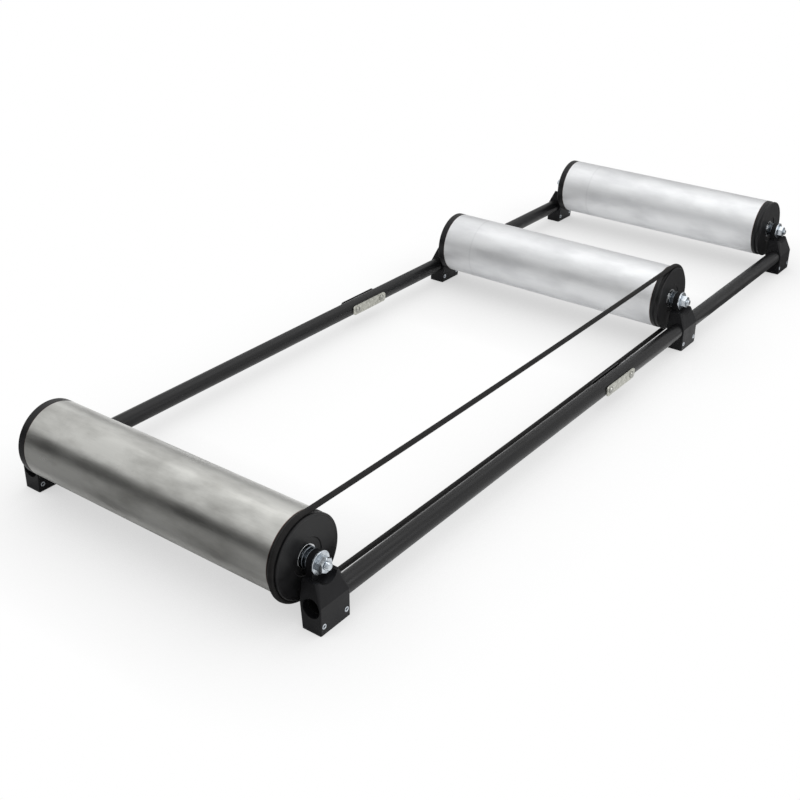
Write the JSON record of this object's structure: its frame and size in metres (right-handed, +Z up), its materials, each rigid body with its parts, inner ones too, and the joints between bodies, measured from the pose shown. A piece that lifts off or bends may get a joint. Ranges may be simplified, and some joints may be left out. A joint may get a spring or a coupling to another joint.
{
  "type": "bike rollers",
  "caption": "Indoor bike rollers: smooth metal drums on hinged side rails, with a round drive belt from the middle drum to the front one.",
  "frame": {"origin": "on the floor, at the middle of the hinges, which is half way between the front and rear axles and half way between the rails", "axes": "+X along the drums towards the belt's side, +Y from the front drum to the rear drum, +Z up"},
  "size_m": [0.5084, 1.427, 0.1313],
  "materials": {
    "drum_aluminium": "mill finish, with fine streaks along the drum",
    "cap_nylon": "satin moulded, lightly worn",
    "support_nylon": "satin moulded, glass-filled",
    "rail_powder_coat": "satin black powder coat",
    "zinc_plated_steel": "bright zinc plate",
    "bearing_steel": "ground steel",
    "hinge_plate_steel": "brushed, dull",
    "rivet_steel": "tumbled zinc plate",
    "belt_rubber": "matt, dusty black-brown"
  },
  "bodies": {
    "rear_section": {"rear_rail_left": "rail_powder_coat", "rear_rail_right": "rail_powder_coat", "middle_bearing_inner_rings": "bearing_steel", "middle_axle": "zinc_plated_steel", "middle_axle_spacers": "zinc_plated_steel", "middle_inner_washers": "zinc_plated_steel", "middle_jam_nut": "zinc_plated_steel", "middle_outer_washers": "zinc_plated_steel", "middle_axle_nuts": "zinc_plated_steel", "middle_support_left": "support_nylon", "middle_support_right": "support_nylon", "middle_support_pins": "zinc_plated_steel", "middle_rail_screws": "zinc_plated_steel", "rear_bearing_inner_rings": "bearing_steel", "rear_axle": "zinc_plated_steel", "rear_axle_spacers": "zinc_plated_steel", "rear_inner_washers": "zinc_plated_steel", "rear_jam_nut": "zinc_plated_steel", "rear_outer_washers": "zinc_plated_steel", "rear_axle_nuts": "zinc_plated_steel", "rear_support_left": "support_nylon", "rear_support_right": "support_nylon", "rear_support_pins": "zinc_plated_steel", "rear_rail_screws": "zinc_plated_steel", "drive_belt": "belt_rubber"},
    "hinge_links": {"hinge_plate_left_outer": "hinge_plate_steel", "hinge_plate_left_inner": "hinge_plate_steel", "hinge_plate_right_outer": "hinge_plate_steel", "hinge_plate_right_inner": "hinge_plate_steel", "hinge_rivets": "rivet_steel"},
    "front_section": {"front_rail_left": "rail_powder_coat", "front_rail_right": "rail_powder_coat", "front_bearing_inner_rings": "bearing_steel", "front_axle": "zinc_plated_steel", "front_axle_spacers": "zinc_plated_steel", "front_inner_washers": "zinc_plated_steel", "front_jam_nut": "zinc_plated_steel", "front_outer_washers": "zinc_plated_steel", "front_axle_nuts": "zinc_plated_steel", "front_support_left": "support_nylon", "front_support_right": "support_nylon", "front_support_pins": "zinc_plated_steel", "front_rail_screws": "zinc_plated_steel"},
    "front_drum": {"front_drum_tube": "drum_aluminium", "front_left_cap": "cap_nylon", "front_pulley_cap": "cap_nylon", "front_bearing_outer_rings": "bearing_steel", "front_bearing_balls": "bearing_steel"},
    "middle_drum": {"middle_drum_tube": "drum_aluminium", "middle_left_cap": "cap_nylon", "middle_pulley_cap": "cap_nylon", "middle_bearing_outer_rings": "bearing_steel", "middle_bearing_balls": "bearing_steel"},
    "rear_drum": {"rear_drum_tube": "drum_aluminium", "rear_left_cap": "cap_nylon", "rear_pulley_cap": "cap_nylon", "rear_bearing_outer_rings": "bearing_steel", "rear_bearing_balls": "bearing_steel"}
  },
  "joints": [
    {"name": "rear_fold", "type": "hinge", "parent": "rear_section", "child": "hinge_links", "pos_m": [0, 0.032, 0.03125], "axis": [1, 0, 0], "range_deg": [0, 90], "deforming": ["drive_belt"]},
    {"name": "front_fold", "type": "hinge", "parent": "hinge_links", "child": "front_section", "pos_m": [0, -0.032, 0.03125], "axis": [1, 0, 0], "range_deg": [0, 90]},
    {"name": "front_drum_spin", "type": "hinge", "parent": "front_section", "child": "front_drum", "pos_m": [0, -0.66, 0.075], "axis": [1, 0, 0], "continuous": true},
    {"name": "middle_drum_spin", "type": "hinge", "parent": "rear_section", "child": "middle_drum", "pos_m": [0, 0.24, 0.075], "axis": [1, 0, 0], "continuous": true},
    {"name": "rear_drum_spin", "type": "hinge", "parent": "rear_section", "child": "rear_drum", "pos_m": [0, 0.66, 0.075], "axis": [1, 0, 0], "continuous": true}
  ],
  "couplings": [
    {"joint": "rear_fold", "follows": "front_fold", "ratio": 1},
    {"joint": "front_drum_spin", "follows": "middle_drum_spin", "ratio": 1}
  ]
}
